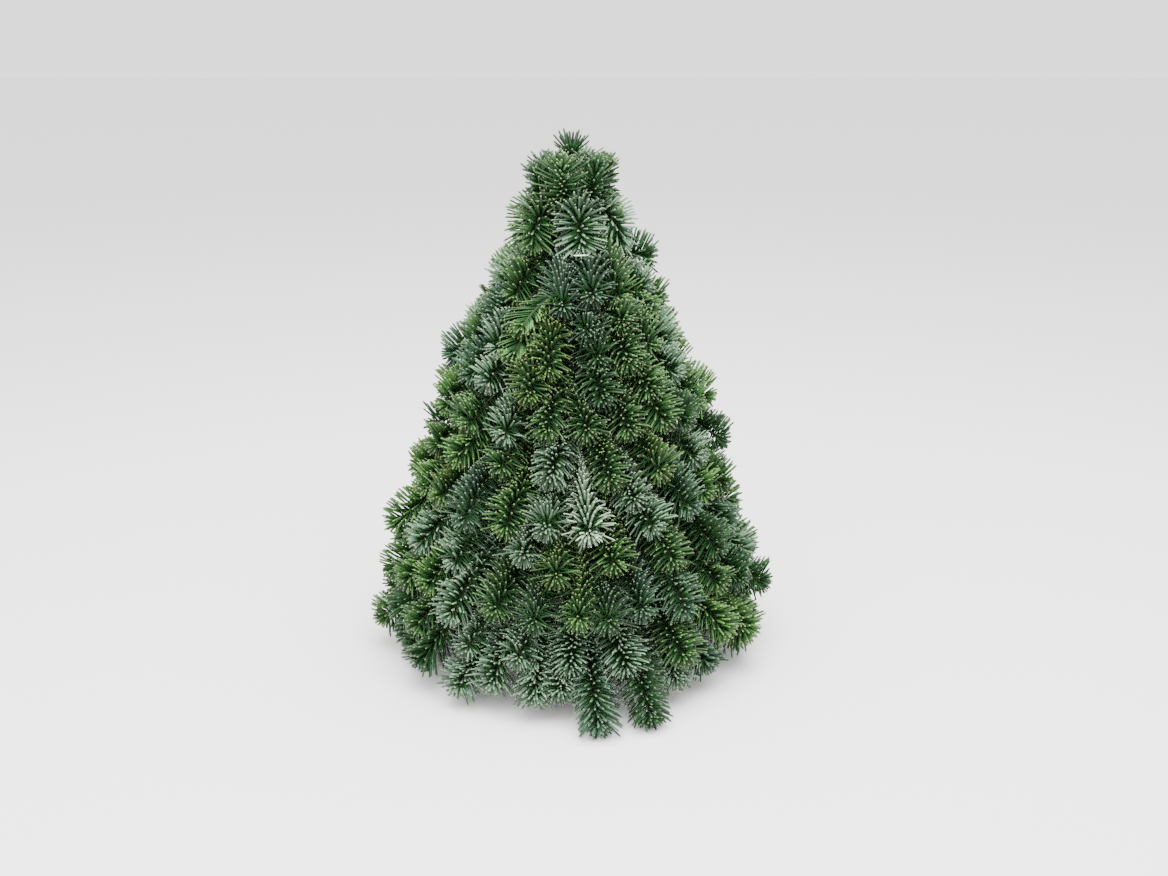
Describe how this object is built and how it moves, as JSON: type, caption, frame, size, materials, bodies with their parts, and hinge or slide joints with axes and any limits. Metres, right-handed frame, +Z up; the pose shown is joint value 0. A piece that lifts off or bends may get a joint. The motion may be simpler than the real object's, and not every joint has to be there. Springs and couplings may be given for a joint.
{
  "type": "table-top christmas tree",
  "caption": "Table-top Christmas tree of cut noble fir sprays in overlapping tiers round a foam cone, on a short trunk that stands in a plain round wooden base.",
  "frame": {"origin": "centre of the round stand's underside, where the trunk's axis meets the table", "axes": "+Z up along the trunk; the side that the picture shows faces -Y"},
  "size_m": [0.3886, 0.3828, 0.499],
  "materials": {
    "pale_wood": "planed and oiled",
    "peeled_stem": "rough bark",
    "green_foam": "matt open-celled foam",
    "fir_needles": "satin needles"
  },
  "bodies": {
    "root": {"foam_cone": "green_foam", "spray_high_01": "fir_needles", "spray_high_02": "fir_needles", "spray_high_03": "fir_needles", "spray_high_04": "fir_needles", "spray_high_05": "fir_needles", "spray_high_06": "fir_needles", "spray_high_07": "fir_needles", "spray_leader": "fir_needles", "spray_low_01": "fir_needles", "spray_low_02": "fir_needles", "spray_low_03": "fir_needles", "spray_low_04": "fir_needles", "spray_low_05": "fir_needles", "spray_low_06": "fir_needles", "spray_low_07": "fir_needles", "spray_low_08": "fir_needles", "spray_low_09": "fir_needles", "spray_middle_01": "fir_needles", "spray_middle_02": "fir_needles", "spray_middle_03": "fir_needles", "spray_middle_04": "fir_needles", "spray_middle_05": "fir_needles", "spray_middle_06": "fir_needles", "spray_middle_07": "fir_needles", "spray_middle_08": "fir_needles", "spray_neck_01": "fir_needles", "spray_neck_02": "fir_needles", "spray_neck_03": "fir_needles", "spray_neck_04": "fir_needles", "spray_shoulder_01": "fir_needles", "spray_shoulder_02": "fir_needles", "spray_shoulder_03": "fir_needles", "spray_shoulder_04": "fir_needles", "spray_shoulder_05": "fir_needles", "spray_shoulder_06": "fir_needles", "spray_skirt_01": "fir_needles", "spray_skirt_02": "fir_needles", "spray_skirt_03": "fir_needles", "spray_skirt_04": "fir_needles", "spray_skirt_05": "fir_needles", "spray_skirt_06": "fir_needles", "spray_skirt_07": "fir_needles", "spray_skirt_08": "fir_needles", "spray_skirt_09": "fir_needles", "spray_skirt_10": "fir_needles", "stand": "pale_wood", "trunk": "peeled_stem"}
  },
  "joints": []
}
